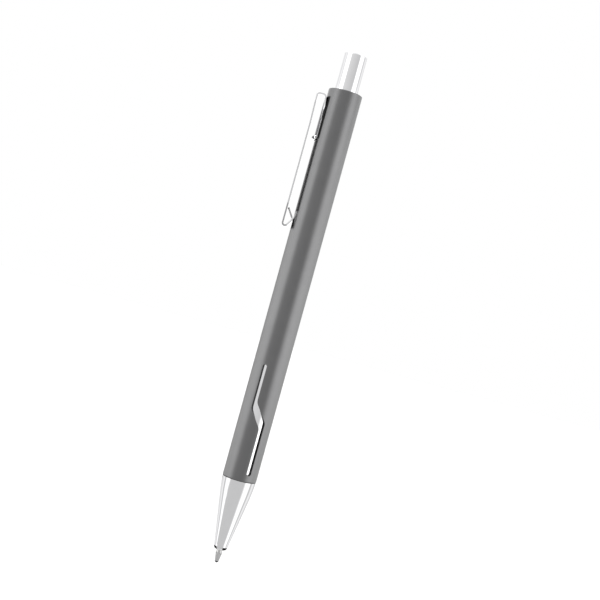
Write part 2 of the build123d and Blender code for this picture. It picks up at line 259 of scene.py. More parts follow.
def noise(node, scale, detail=3.0, rough=0.55, stretch=(1, 1, 1)):
    """Noise in the piece's own coordinates; scale is the number of blotches in a metre."""
    place = node("ShaderNodeTexCoord")
    mapped = node("ShaderNodeMapping", {"Vector": place.outputs["Object"], "Scale": stretch})
    return node(
        "ShaderNodeTexNoise",
        {"Vector": mapped.outputs["Vector"], "Scale": scale, "Detail": detail, "Roughness": rough},
    ).outputs["Fac"]


def spread(node, value, low_end, high_end):
    """Maps noise, which lies about its middle, to the range low_end to high_end."""
    return node(
        "ShaderNodeMapRange",
        {"Value": value, "From Min": 0.3, "From Max": 0.7, "To Min": low_end, "To Max": high_end},
    ).outputs["Result"]


def blend_colours(node, factor, first, second):
    """Mixes two colours, each a triple or a socket, by a factor that comes from a socket."""
    made = node("ShaderNodeMix", data_type="RGBA")
    links = made.id_data.links
    for index, value in ((0, factor), (6, first), (7, second)):
        if isinstance(value, bpy.types.NodeSocket):
            links.new(value, made.inputs[index])
        else:
            made.inputs[index].default_value = (*value, 1)
    return made.outputs[2]


def maths(node, operation, first, second=0.0):
    return node("ShaderNodeMath", {0: first, 1: second}, operation=operation).outputs[0]


def step(node, value, start, end):
    """Goes smoothly from 0 where value is at start to 1 where it is at end."""
    inputs = {"Value": value, "From Min": start, "From Max": end}
    return node("ShaderNodeMapRange", inputs, interpolation_type="SMOOTHSTEP").outputs["Result"]


def bump(node, to_shader, height, strength, distance):
    made = node("ShaderNodeBump", {"Height": height, "Strength": strength, "Distance": distance})
    to_shader("Normal", made.outputs["Normal"])


def barrel_coat():
    """Satin gunmetal lacquer with a fine grain, faintly uneven. Painted shade makes it black inside the tube
    and in the slot's walls, and in a strip beside the clip's leg."""
    material, node, shader, to_shader = new_material("barrel_coat")
    shader.inputs["Metallic"].default_value = 0.95
    shader.inputs["Coat Roughness"].default_value = 0.28
    place = node("ShaderNodeTexCoord").outputs["Object"]
    split = node("ShaderNodeSeparateXYZ", {0: place}).outputs
    flat_place = node("ShaderNodeVectorMath", {0: place, 1: (1, 1, 0)}, operation="MULTIPLY")
    from_axis = node("ShaderNodeVectorMath", {0: flat_place.outputs[0]}, operation="LENGTH").outputs["Value"]
    along = split["Z"]
    # painted shade: near black on the tube's bore and on the slot's cut walls
    in_slot = maths(node, "MULTIPLY", step(node, along, 0.0245, 0.025), step(node, along, 0.058, 0.0575))
    cut = maths(node, "MULTIPLY", step(node, from_axis, 0.00472, 0.00466), in_slot)
    inside = maths(node, "MAXIMUM", step(node, from_axis, 0.0044, 0.0043), cut)
    # painted shade: a near-black strip on the barrel beside the clip's leg, where the leg would shade it
    away = maths(node, "MULTIPLY", split["X"], -1.0)
    round_way = maths(node, "ARCTAN2", maths(node, "ABSOLUTE", split["Y"]), away)
    leg_low, leg_high = step(node, along, 0.1190, 0.1198), step(node, along, 0.1315, 0.1312)
    leg_shadow_strip = maths(node, "MULTIPLY", leg_low, leg_high)
    leg_shadow_strip = maths(node, "MULTIPLY", leg_shadow_strip, step(node, round_way, 0.74, 0.62))
    # all the painted shade, which turns the coat near black and takes its clear coat off
    dark = maths(node, "MAXIMUM", inside, leg_shadow_strip)
    clouds = noise(node, 220)
    grain = noise(node, 14000, detail=4)
    coat = blend_colours(node, spread(node, clouds, 0, 1), (0.157, 0.157, 0.159), (0.168, 0.168, 0.17))
    to_shader("Base Color", blend_colours(node, dark, coat, (0.006, 0.006, 0.006)))
    to_shader("Coat Weight", maths(node, "SUBTRACT", 1.0, dark))
    to_shader("Roughness", spread(node, grain, 0.28, 0.34))
    bump(node, to_shader, grain, 0.12, 0.00001)
    return material


def chrome(name="chrome", is_darkened=False):
    """Polished plate with hairline scratches and a trace of handling. A darkened piece is darker where its
    mesh attribute marks it, partly as painted shade."""
    material, node, shader, to_shader = new_material(name)
    shader.inputs["Metallic"].default_value = 1.0
    haze = noise(node, 300)
    hairlines = noise(node, 9000, detail=2, stretch=(1, 1, 0.04))
    plate = blend_colours(node, spread(node, haze, 0, 1), (0.9, 0.9, 0.91), (0.93, 0.93, 0.94))
    if is_darkened:
        # painted shade: the mesh attribute darkens the plating towards black
        darkening = node("ShaderNodeAttribute", attribute_name=DARKENING_ATTRIBUTE).outputs["Fac"]
        plate = blend_colours(node, darkening, plate, (0.02, 0.02, 0.02))
    to_shader("Base Color", plate)
    to_shader("Roughness", spread(node, hairlines, 0.025, 0.06))
    bump(node, to_shader, hairlines, 0.02, 0.000005)
    return material


def metal(name, first, second, rough_low, rough_high, stretch=(1, 1, 30)):
    """Turned or drawn metal: fine tool lines, across the axis unless stretched another way."""
    material, node, shader, to_shader = new_material(name)
    shader.inputs["Metallic"].default_value = 1.0
    lines = noise(node, 1500, detail=3, stretch=stretch)
    blotches = noise(node, 500)
    to_shader("Base Color", blend_colours(node, spread(node, blotches, 0, 1), first, second))
    to_shader("Roughness", spread(node, lines, rough_low, rough_high))
    bump(node, to_shader, lines, 0.1, 0.00001)
    return material


def tip_metal():
    """Nickel silver: the point's ground cone is satin with a dark band of painted shade round the ball, and
    its drawn neck is bright.
    """
    material, node, shader, to_shader = new_material("nickel_silver")
    shader.inputs["Metallic"].default_value = 1.0
    lines = noise(node, 3000, detail=3, stretch=(1, 1, 20))
    blotches = noise(node, 900)
    along = node("ShaderNodeSeparateXYZ", {0: node("ShaderNodeTexCoord").outputs["Object"]}).outputs["Z"]
    neck = step(node, along, 0.00293, 0.00297)
    cone = blend_colours(node, spread(node, blotches, 0, 1), (0.66, 0.66, 0.66), (0.72, 0.72, 0.72))
    # painted shade: a near-black band at the foot of the cone, round the ball
    cone = blend_colours(node, step(node, along, 0.0006, 0.00038), cone, (0.05, 0.05, 0.055))
    to_shader("Base Color", blend_colours(node, neck, cone, (0.68, 0.68, 0.675)))
    smoother = maths(node, "MULTIPLY", neck, -0.22)
    to_shader("Roughness", maths(node, "ADD", spread(node, lines, 0.28, 0.38), smoother))
    bump(node, to_shader, lines, 0.1, 0.00001)
    return material


def plastic(name, first, second, rough_low, rough_high):
    """Moulded plastic with a fine matt grain."""
    material, node, shader, to_shader = new_material(name)
    shader.inputs["IOR"].default_value = 1.48
    grain = noise(node, 6000, detail=4)
    blotches = noise(node, 350)
    to_shader("Base Color", blend_colours(node, spread(node, blotches, 0, 1), first, second))
    to_shader("Roughness", spread(node, grain, rough_low, rough_high))
    bump(node, to_shader, grain, 0.15, 0.00001)
    return material


def paste(name, first, second):
    """Ink or grease: smooth, wet and a little streaked."""
    material, node, shader, to_shader = new_material(name)
    shader.inputs["IOR"].default_value = 1.5
    streaks = noise(node, 700, stretch=(1, 1, 0.2))
    to_shader("Base Color", blend_colours(node, spread(node, streaks, 0, 1), first, second))
    to_shader("Roughness", spread(node, streaks, 0.08, 0.2))
    bump(node, to_shader, streaks, 0.1, 0.00002)
    return material


DRAWN = (30, 30, 1)
MATERIALS = {
    "barrel_coat": barrel_coat(),
    "chrome": chrome(),
    "ball_carbide": metal("ball_carbide", (0.05, 0.05, 0.053), (0.08, 0.08, 0.083), 0.12, 0.2, (1, 1, 1)),
    "nickel_silver": tip_metal(),
    "refill_metal": metal("refill_metal", (0.6, 0.6, 0.6), (0.68, 0.68, 0.67), 0.2, 0.32, DRAWN),
    "spring_steel": metal("spring_steel", (0.55, 0.55, 0.56), (0.63, 0.63, 0.64), 0.15, 0.28, (1, 1, 1)),
    "brass": metal("brass", (0.72, 0.55, 0.26), (0.8, 0.63, 0.33), 0.2, 0.34, DRAWN),
    "tail_plastic": plastic("tail_plastic", (0.03, 0.03, 0.033), (0.045, 0.045, 0.05), 0.4, 0.55),
    "plunger_plastic": plastic("plunger_plastic", (0.03, 0.03, 0.033), (0.04, 0.04, 0.045), 0.35, 0.5),
    "bush_plastic": plastic("bush_plastic", (0.025, 0.025, 0.028), (0.035, 0.035, 0.04), 0.3, 0.45),
    "rotor_plastic": plastic("rotor_plastic", (0.72, 0.72, 0.69), (0.78, 0.78, 0.75), 0.35, 0.5),
    "cam_plastic": plastic("cam_plastic", (0.74, 0.74, 0.72), (0.8, 0.8, 0.78), 0.35, 0.5),
    "ink": paste("ink", (0.005, 0.01, 0.12), (0.01, 0.02, 0.2)),
    "follower_grease": paste("follower_grease", (0.7, 0.66, 0.48), (0.78, 0.75, 0.58)),
}
SLOTS = {part["node"]: part["material_slot"] for part in frame["record"]["subparts"]}
BODIES = frame["record"]["behaviour"]["bodies"]
BODY = {node: body for body, nodes in BODIES.items() for node in nodes}


def finish_piece(skin, node, name=None):
    """Makes the piece that stands for a CAD node, in that node's material and on its body."""
    piece = skin.build(name or node + "_skin", MATERIALS[SLOTS[node]])
    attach(piece, BODY[node])
    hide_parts(node)
    return piece


# ---------------------------------------------------------------- barrel
BARREL_R = radius("barrel")
BORE_R = radius("slot_liner") + 0.02 * MM
RIM = 0.25 * MM

# The slot as it would unroll from the barrel: across is arc length from the -Y line.
SLOT_TOP, SLOT_BOTTOM = 56.3 * MM, 25.8 * MM
UPPER_LEG = (-1.98 * MM, -0.85 * MM)
LOWER_LEG = (1.70 * MM, 2.97 * MM)
SLOT_CORNERS = [  # run with the metal on the right
    (UPPER_LEG[0], SLOT_TOP, 0.56 * MM),
    (UPPER_LEG[1], SLOT_TOP, 0.56 * MM),
    (UPPER_LEG[1], 45.8 * MM, 2.7 * MM),
    (LOWER_LEG[1], 40.7 * MM, 2.0 * MM),
    (LOWER_LEG[1], SLOT_BOTTOM, 0.62 * MM),
    (LOWER_LEG[0], SLOT_BOTTOM, 0.62 * MM),
    (LOWER_LEG[0], 39.0 * MM, 2.5 * MM),
    (UPPER_LEG[0], 43.8 * MM, 2.2 * MM),
]
SLOT_EDGE = 0.07 * MM  # radius of the slot's broken outer edge
EDGE_STEPS = 4


def even(points, longest):
    """Adds points along an outline's long stretches."""
    result = []
    for here, following in zip(points, points[1:] + points[:1]):
        result.append(here)
        length = math.hypot(following[0] - here[0], following[1] - here[1])
        pieces = math.ceil(length / longest)
        for k in range(1, pieces):
            share = k / pieces
            x = here[0] + (following[0] - here[0]) * share
            y = here[1] + (following[1] - here[1]) * share
            result.append((x, y, here[3], here[3]))
    return result


def barrel_sheet(skin, r, rows, columns, hole, window):
    """One cylinder face of the barrel between two rows of points, with the slot's hole in it.

    rows are the (height, points) of the window's lowest and highest rows; hole is a loop of (across,
    height, point); window is the first and last column of the area that the hole lies in.
    """
    first, last = window
    flat, owners = [], []
    for height, points in rows:
        for k in range(first, last + 1):
            flat.append(Vector((columns[k] * BARREL_R, height)))
            owners.append(points[k % AROUND])
    width = last - first + 1
    ring = list(range(width)) + list(range(2 * width - 1, width - 1, -1))
    edges = list(zip(ring, ring[1:] + ring[:1]))
    start = len(flat)
    for across, height, point in hole:
        flat.append(Vector((across, height)))
        owners.append(point)
    count = len(hole)
    edges += [(start + i, start + (i + 1) % count) for i in range(count)]
    loop = [(across, height) for across, height, _ in hole]
    clear = 0.12 * MM  # the inner points of the grid keep about this far from the slot's edge
    fence = [(a + dx, h + dy) for a, h in loop for dx in (-clear, clear) for dy in (-clear, clear)]
    near = {(round(a / clear), round(h / clear)) for a, h in fence}
    gap = 0.5 * MM
    steps = int((rows[1][0] - rows[0][0]) / gap)
    for k in range(first + 1, last):
        for n in range(1, steps):
            spot = (columns[k] * BARREL_R, rows[0][0] + n * (rows[1][0] - rows[0][0]) / steps)
            if is_inside(spot, loop) or (round(spot[0] / clear), round(spot[1] / clear)) in near:
                continue
            flat.append(Vector(spot))
            owners.append(skin.point(polar(r, spot[0] / BARREL_R, spot[1])))
    places, _, faces, origins, _, _ = delaunay_2d_cdt(flat, edges, [], 0, 1e-9)
    sign = 1 if r > BORE_R + 0.1 * MM else -1
    for corners in faces:
        middle = sum((places[c] for c in corners), Vector((0, 0))) / len(corners)
        if is_inside(middle, loop):
            continue
        points = [owners[origins[c][0]] for c in corners]
        normals = []
        for c in corners:
            angle = places[c].x / BARREL_R
            normals.append(Vector((math.sin(angle), -math.cos(angle), 0)) * sign)
        skin.face(points, normals)


def make_barrel():
    skin = Skin()
    bottom, top = low("barrel"), high("barrel")
    window_low, window_high = SLOT_BOTTOM - 1.0 * MM, SLOT_TOP + 1.0 * MM
    outline = rounded(
        [
            (BORE_R, bottom, 0.08 * MM),
            (BARREL_R, bottom, RIM),
            (BARREL_R, window_low),
            (BARREL_R, window_high),
            (BARREL_R, top, RIM),
            (BORE_R, top, 0.08 * MM),
            (BORE_R, window_high),
            (BORE_R, window_low),
        ]
    )
    columns = [TAU * k / AROUND for k in range(AROUND)]

    loops = [[skin.point(polar(r, a, z)) for a in columns] for r, z, _, _ in outline]
    margin = 3
    first = math.floor(UPPER_LEG[0] / BARREL_R / TAU * AROUND) - margin
    last = math.ceil(LOWER_LEG[1] / BARREL_R / TAU * AROUND) + margin
    in_window = {k % AROUND for k in range(first, last)}
    rows = {}
    for i, (r, z, _, after) in enumerate(outline):
        j = (i + 1) % len(outline)
        normals_a, normals_b = normals_round(after, columns), normals_round(outline[j][2], columns)
        band = {round(z / MM, 4), round(outline[j][1] / MM, 4)}
        is_window = band == {round(window_low / MM, 4), round(window_high / MM, 4)}
        if is_window:
            rows[r] = sorted([(z, loops[i]), (outline[j][1], loops[j])])
        for k in range(AROUND):
            if is_window and k in in_window:
                continue
            m = (k + 1) % AROUND
            skin.face(
                (loops[i][k], loops[i][m], loops[j][m], loops[j][k]),
                (normals_a[k], normals_a[m], normals_b[m], normals_b[k]),
            )

    shape = even(rounded(SLOT_CORNERS), 0.4 * MM)

    def slot_loop(offset, r, lean):
        """The slot's outline moved into the metal by offset, at radius r, with its shading normals.

        lean turns the normal from straight out of the barrel (0) to straight into the slot (1)."""
        places, points, normals = [], [], []
        for x, z, side, _ in shape:
            across, height = x - side.x * offset, z - side.y * offset
            angle = across / BARREL_R
            outward = Vector((math.sin(angle), -math.cos(angle), 0))
            round_way = Vector((math.cos(angle), math.sin(angle), 0))
            into_slot = round_way * side.x + Vector((0, 0, 1)) * side.y
            turn = lean * math.pi / 2
            places.append((across, height))
            points.append(skin.point(polar(r, angle, height)))
            normals.append(outward * math.cos(turn) + into_slot * math.sin(turn))
        return places, points, normals

    steps = []
    for k in range(EDGE_STEPS + 1):
        turn = math.pi / 2 * k / EDGE_STEPS
        offset = SLOT_EDGE * (1 - math.sin(turn))
        steps.append(slot_loop(offset, BARREL_R - SLOT_EDGE * (1 - math.cos(turn)), k / EDGE_STEPS))
    steps.append(slot_loop(0, BORE_R, 1))
    for (_, points_a, normals_a), (_, points_b, normals_b) in zip(steps, steps[1:]):
        skin.bridge(points_a, normals_a, points_b, normals_b)
    for r, (places, points, _) in ((BARREL_R, steps[0]), (BORE_R, steps[-1])):
        hole = [(a, h, p) for (a, h), p in zip(places, points)]
        all_columns = {k: TAU * k / AROUND for k in range(first, last + 1)}
        key = min(rows, key=lambda row_r: abs(row_r - r))
        barrel_sheet(skin, r, rows[key], all_columns, hole, (first, last))
    return finish_piece(skin, "barrel")


# ---------------------------------------------------------------- turned pieces
NOSE_SLOPE = 0.1643  # radius gained per metre of height on the straight part of the cone
CONE_TOP = (4.10 * MM, 18.2 * MM)
THREAD_PITCH = 0.75 * MM
THREAD_DEPTH = 0.2 * MM


def nose_profile():
    """The cone's outside from its mouth up: a straight cone that swells into an arc under the barrel."""
    mouth, top_r = low("nose_cone"), radius("nose_cone")
    top = low("barrel") - 0.02 * MM
    x0, z0 = CONE_TOP
    length = math.hypot(NOSE_SLOPE, 1)
    side = Vector((1 / length, -NOSE_SLOPE / length))
    chord = Vector((top_r - x0, top - z0))
    bend = chord.length_squared / (2 * -chord.dot(side)) if chord.dot(side) < 0 else 1.0
    centre = Vector((x0, z0)) - side * bend
    start = math.atan2(z0 - centre.y, x0 - centre.x)
    end = math.atan2(top - centre.y, top_r - centre.x)
    arc = [
        (centre.x + bend * math.cos(start + (end - start) * k / 16),
         centre.y + bend * math.sin(start + (end - start) * k / 16))
        for k in range(17)
    ]
    return mouth, x0 - NOSE_SLOPE * (z0 - mouth), arc, top


def mouth_curve(mouth, mouth_r):
    """The rounded lip of the cone's mouth, a quarter of an ellipse that runs into the cone."""
    wide, tall, steps = 0.5 * MM, 1.3 * MM, 20
    centre_r = mouth_r + NOSE_SLOPE * tall - wide
    points = []
    for k in range(steps + 1):
        a = math.pi / 2 * k / steps
        lean = NOSE_SLOPE * tall * (1 - math.sin(a)) * 0.5
        points.append((centre_r + wide * math.sin(a) - lean, mouth + tall * (1 - math.cos(a))))
    return points


def make_nose():
    mouth, mouth_r, arc, top = nose_profile()
    hole_r = 1.3 * MM
    spigot_r = 3.42 * MM - THREAD_DEPTH
    bore_r = radius("refill_tube") + 0.12 * MM
    spigot_top = high("nose_cone")
    seat, pocket_r, pocket_top = 12.5 * MM, 2.45 * MM, 16.6 * MM
    skin = Skin()
    outline = [(hole_r, mouth, 0.02 * MM)] + mouth_curve(mouth, mouth_r)
    outline += [(r, z) for r, z in arc[:-1]]
    outline += [
        (*arc[-1], 0.0),
        (spigot_r, top),
        (spigot_r, spigot_top, 0.15 * MM),
        (bore_r, spigot_top, 0.1 * MM),
        (bore_r, pocket_top),
        (pocket_r, pocket_top),
        (pocket_r, seat),
        (hole_r + 0.35 * MM, seat),
        (hole_r, 10.0 * MM),
    ]
    turned(skin, outline)
    thread(skin, spigot_r - 0.005 * MM, THREAD_DEPTH, top + 1.2 * MM, spigot_top - 0.2 * MM, THREAD_PITCH)
    return finish_piece(skin, "nose_cone")


def make_liner():
    skin = Skin()
    bottom, top, outer = low("slot_liner"), high("slot_liner"), radius("slot_liner")
    bore = 3.45 * MM + THREAD_DEPTH
    turned(
        skin,
        [(bore, bottom, 0.1 * MM), (outer, bottom, 0.1 * MM), (outer, top, 0.1 * MM), (bore, top, 0.1 * MM)],
    )
    thread(skin, bore + 0.005 * MM, THREAD_DEPTH, bottom + 0.3 * MM, bottom + 9.5 * MM, THREAD_PITCH, -1)
    return finish_piece(skin, "slot_liner")


def make_button():
    skin = Skin()
    top, bottom, flange_r = high("push_button"), low("push_button"), radius("push_button")
    outer, inner = 3.3 * MM, 2.9 * MM
    flange_top = bottom + 1.0 * MM
    roof = top - 1.0 * MM
    turned(
        skin,
        [
            (inner, bottom, 0.08 * MM),
            (flange_r, bottom, 0.12 * MM),
            (flange_r, flange_top, 0.12 * MM),
            (outer, flange_top, 0.05 * MM),
            (outer, top, 0.45 * MM),
            (0, top),
            (0, roof),
            (inner, roof, 0.2 * MM),
        ],
        closed=False,
    )
    return finish_piece(skin, "push_button")


def make_ring(node, inner, edge):
    """A plain turned tube for a CAD ring, with all four of its edges rounded."""
    skin = Skin()
    outer, bottom, top = radius(node), low(node), high(node)
    turned(skin, [(inner, bottom, edge), (outer, bottom, edge), (outer, top, edge), (inner, top, edge)])
    return finish_piece(skin, node)


def make_tip():
    skin = Skin()
    lip, top = low("writing_tip"), high("writing_tip")
    socket = radius("writing_ball") + 0.02 * MM
    shoulder, neck = radius("writing_tip"), 0.8 * MM
    shoulder_z = 2.95 * MM
    turned(
        skin,
        [
            (socket, lip, 0.015 * MM),
            (socket + 0.06 * MM, lip, 0.03 * MM),
            (shoulder, shoulder_z, 0.04 * MM),
            (neck, shoulder_z + 0.03 * MM),
            (neck, top, 0.1 * MM),
            (0.15 * MM, top),
            (0.15 * MM, 1.0 * MM),
            (socket, 0.78 * MM),
        ],
        around=96,
    )
    return finish_piece(skin, "writing_tip")


def make_ball():
    skin = Skin()
    r = radius("writing_ball")
    steps = 32
    outline = []
    for k in range(steps + 1):
        a = -math.pi / 2 + math.pi * k / steps
        outline.append((r * math.cos(a) if 0 < k < steps else 0.0, r + r * math.sin(a)))
    turned(skin, outline, around=64, closed=False)
    return finish_piece(skin, "writing_ball")


def make_refill_front():
    skin = Skin()
    bottom, top = low("refill_front"), high("refill_front")
    needle, flange = 1.2 * MM, radius("refill_front")
    shoulder, flange_top = 18.5 * MM, 19.3 * MM
    plug, bore = flange - 0.27 * MM, 0.6 * MM
    groove = 17.4 * MM
    turned(
        skin,
        [
            (0.82 * MM, bottom, 0.03 * MM),
            (needle - 0.2 * MM, bottom, 0.05 * MM),
            (needle, bottom + 0.3 * MM, 0.1 * MM),
            (needle, groove, 0.05 * MM),
            (needle + 0.25 * MM, groove + 0.3 * MM, 0.05 * MM),
            (needle + 0.25 * MM, shoulder, 0.05 * MM),
            (flange, shoulder, 0.28 * MM),
            (flange, flange_top, 0.05 * MM),
            (plug, flange_top),
            (plug, top, 0.1 * MM),
            (bore, top),
            (bore, 10.02 * MM),
            (0.82 * MM, 10.02 * MM),
        ],
        around=128,
    )
    return finish_piece(skin, "refill_front")


# ---------------------------------------------------------------- spring
def make_spring():
    """A coiled wire with closed end turns."""
    skin = Skin()
    wire = 0.2 * MM
    bottom, top = low("return_spring") + wire, high("return_spring") - wire
    coil = radius("return_spring") - wire
    turns, per_turn, section = 7.5, 36, 12
    count = int(turns * per_turn)
    closed_turn = 1.0  # the first and last turns lie almost flat

    def height(turn):
        flat = 2 * wire * 1.03 * closed_turn
        if turn < closed_turn:
            return bottom + flat * turn / closed_turn
        if turn > turns - closed_turn:
            return top - flat * (turns - turn) / closed_turn
        share = (turn - closed_turn) / (turns - 2 * closed_turn)
        return bottom + flat + (top - bottom - 2 * flat) * share

    loops, sides = [], []
    for k in range(count + 1):
        turn = turns * k / count
        angle = TAU * turn
        ahead = polar(coil, angle + 0.01, height(min(turns, turn + 0.01 / TAU)))
        here = polar(coil, angle, height(turn))
        along = (ahead - here).normalized()
        outward = Vector((math.sin(angle), -math.cos(angle), 0))
        up = along.cross(outward).normalized()
        points, normals = [], []
        for m in range(section):
            turn_m = TAU * m / section
            side = outward * math.cos(turn_m) + up * math.sin(turn_m)
            points.append(skin.point(here + side * wire))
            normals.append(side)
        loops.append(points)
        sides.append(normals)
    for k in range(count):
        skin.bridge(loops[k], sides[k], loops[k + 1], sides[k + 1])
    for loop, point_away in ((loops[0], -1), (loops[-1], 1)):
        centre = sum((Vector(skin.points[p]) for p in loop), Vector()) / section
        edge = Vector(skin.points[loop[0]]) - centre
        other = Vector(skin.points[loop[section // 4]]) - centre
        flat_side = edge.cross(other).normalized() * point_away
        skin.face(loop, [flat_side] * section)
    node = "return_spring"
    piece = skin.build(node + "_skin", MATERIALS[SLOTS[node]])
    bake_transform(piece)
    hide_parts(node)
    return piece


# ---------------------------------------------------------------- clip
STRIP = 0.45 * MM
STRIP_W = 4.0 * MM
SADDLE_W = 4.3 * MM
SADDLE_LOW_W = 5.4 * MM
CURL_STRIP = 0.3 * MM
CURL_R = 0.52 * MM
SADDLE_HIGH = 125.3 * MM
STRIP_EDGE = 0.04 * MM
ACROSS = 14  # facets across the strip's wide faces


def smooth(value):
    value = max(0.0, min(1.0, value))
    return value * value * (3 - 2 * value)


def clip_path():
    """The strip's centre line as (distance from the axis, height, side, share of curl) points."""
    out = -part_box("clip_arm")[0][0]
    top = high("clip_arm")
    arm, leg = out - STRIP / 2, BARREL_R + 0.02 * MM + STRIP / 2
    inner_arm = arm - 0.16 * MM  # the arm bends in a little between two shallow bends
    curl_z = low("clip_base") + CURL_R
    corners = [
        (6.7 * MM, 99.15 * MM),
        (6.52 * MM, 98.88 * MM),
        (4.84 * MM, 96.35 * MM, 0.7 * MM),
        (inner_arm, 92.6 * MM, 0.65 * MM),
        (inner_arm, 123.0 * MM, 30.0 * MM),
        (arm, 129.0 * MM, 30.0 * MM),
        (arm, top - STRIP / 2, 0.72 * MM),
        (leg, top - STRIP / 2, 0.72 * MM),
        (leg, 129.5 * MM),
        (leg, curl_z),
    ]
    path = []
    outline = rounded(corners, closed=False)
    for here, following in zip(outline, outline[1:] + [None]):
        path.append((here[0], here[1], here[3], 0.0))
        if following is None:
            break
        length = math.hypot(following[0] - here[0], following[1] - here[1])
        on_leg = here[0] < leg + 0.001 * MM and here[1] > curl_z - MM
        steps = math.ceil(length / (0.3 * MM if on_leg else 3 * MM))
        for k in range(1, steps):
            share = k / steps
            x = here[0] + (following[0] - here[0]) * share
            z = here[1] + (following[1] - here[1]) * share
            path.append((x, z, here[3], 0.0))
    centre_x = BARREL_R + 0.02 * MM + CURL_R
    wound = CURL_R - CURL_STRIP / 2
    sweep = math.radians(300)
    steps = 24
    start_x, start_side = leg, path[-1][2]
    for k in range(1, steps + 1):
        a = sweep * k / steps
        ease = smooth(a / math.radians(70))
        r = (centre_x - start_x) * (1 - ease) + wound * ease
        side = Matrix.Rotation(a, 2) @ start_side
        x = centre_x - r * math.cos(a)
        z = curl_z - r * math.sin(a)
        path.append((x, z, side, ease))
    return path


def painted_shade_and_darkening(face_side, is_tip, is_arm, z):
    """How far a face of the clip is darkened: its cut tip is black as painted shade, the arm's inner face is
    darkened as painted shade, and the arm's narrow edges are darkened, more below 100 mm.
    """
    # painted shade: the cut tip of the hook is black
    if is_tip:
        return 1.0
    if not is_arm:
        return 0.0
    if abs(face_side.x) > 0.5:
        return 0.5 if z < 100 * MM else 0.15
    # painted shade: the arm's inner face, towards the barrel
    return 0.7 if face_side.y < 0 else 0.0


def make_clip():
    """The whole bent strip: hook, arm, top bend, saddle-shaped leg and curled end."""
    skin = Skin()
    path = clip_path()
    bend_r = BARREL_R + 0.02 * MM + STRIP / 2
    loops, sides, darkening = [], [], []
    for x, z, side, curl in path:
        on_leg = x < bend_r + 1.2 * MM and z > 110 * MM
        hug = smooth((132.0 * MM - z) / (5.0 * MM)) if on_leg else 0.0
        width = STRIP_W - 0.5 * MM * curl
        if on_leg:
            width += (SADDLE_W - STRIP_W) * smooth((131.6 * MM - z) / (2.4 * MM))
            width += (SADDLE_LOW_W - SADDLE_W) * smooth((SADDLE_HIGH - z) / (0.35 * MM))
        thick = STRIP + (CURL_STRIP - STRIP) * curl
        shell = rounded(
            [
                (-width / 2, -thick / 2, STRIP_EDGE),
                (width / 2, -thick / 2, STRIP_EDGE),
                (width / 2, thick / 2, STRIP_EDGE),
                (-width / 2, thick / 2, STRIP_EDGE),
            ]
        )
        section = []
        for here, following in zip(shell, shell[1:] + shell[:1]):
            section.append(here)
            if abs(following[0] - here[0]) > width / 2:
                for k in range(1, ACROSS):
                    share = k / ACROSS
                    section.append((here[0] + (following[0] - here[0]) * share, here[1], here[3], here[3]))
        points, normals = [], []
        for across, up, face_side, _ in section:
            distance = x + side.x * up
            height = z + side.y * up
            if hug > 0.001:
                big_r = bend_r / hug
                centre = bend_r - big_r
                angle = across / big_r
                reach = distance - centre
                place = Vector((-(centre + reach * math.cos(angle)), reach * math.sin(angle), height))
            else:
                angle = 0.0
                place = Vector((-distance, across, height))
            outward = Vector((-math.cos(angle), math.sin(angle), 0))
            sideways = Vector((math.sin(angle), math.cos(angle), 0))
            through = outward * side.x + Vector((0, 0, side.y))
            points.append(skin.point(place))
            normals.append(sideways * face_side.x + through * face_side.y)
        loops.append(points)
        sides.append(normals)
    for k in range(len(loops) - 1):
        skin.bridge(loops[k], sides[k], loops[k + 1], sides[k + 1])
        is_arm = path[k][0] > bend_r + 0.8 * MM and path[k + 1][1] < 130.5 * MM
        for _, _, _, face_side in section:
            darkening.append(painted_shade_and_darkening(face_side, k == 0, is_arm, path[k][1]))
    for loop, beyond in ((loops[0], loops[1]), (loops[-1], loops[-2])):
        away = Vector(skin.points[loop[0]]) - Vector(skin.points[beyond[0]])
        skin.face(loop, [away.normalized()] * len(loop))
    darkening += [1.0, 0.0]  # the two ends: the hook's end black as painted shade, the curl's end plain
    piece = skin.build("clip_skin", chrome("clip_chrome", is_darkened=True))
    piece.data.attributes.new(DARKENING_ATTRIBUTE, "FLOAT", "FACE").data.foreach_set("value", darkening)
    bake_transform(piece)
    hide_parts("clip_arm", "clip_base")
    return piece


# ---------------------------------------------------------------- the pen
make_barrel()
make_liner()
make_nose()
make_button()
make_ring("guide_bush", 3.36 * MM, 0.15 * MM)
make_ring("refill_tube", 2.65 * MM, 0.05 * MM)
make_tip()
make_ball()
make_refill_front()
make_spring()
make_clip()

for name, node in frame["nodes"].items():
    node.data.materials.clear()
    node.data.materials.append(MATERIALS[SLOTS[name]])

# ---------------------------------------------------------------- stage, light and camera
LENGTH = high("push_button") - low("writing_ball")
BRIGHTEST = 2.0  # what the top of a colour ramp stands for
LIGHTS = [  # degrees round from the front towards +X, and how bright it is there
    (-179, 1.2), (-169, 1.15), (-164, 0.45), (-148, 0.5), (-125, 1.2), (-106, 1.6), (-90, 1.85), (-50, 1.8),
    (50, 1.85), (90, 1.9), (106, 1.6), (125, 1.2), (148, 0.6), (164, 0.55), (169, 1.15), (179, 1.2),
]
HIGH_LIGHTS = [  # the same, high up, where darker lines show between the lights
    (-179, 1.08), (-150, 1.08), (-146, 0.95), (-128, 0.92), (-125, 0.78), (-117, 0.78), (-114, 0.97),
    (-97, 0.97), (-94, 0.84), (-87, 0.84), (-82, 1.1), (-76, 1.8), (76, 1.8), (93, 1.07), (98, 0.7),
    (110, 0.7), (115, 0.95), (132, 0.95), (136, 0.8), (152, 0.8), (158, 1.05), (179, 1.05),
]
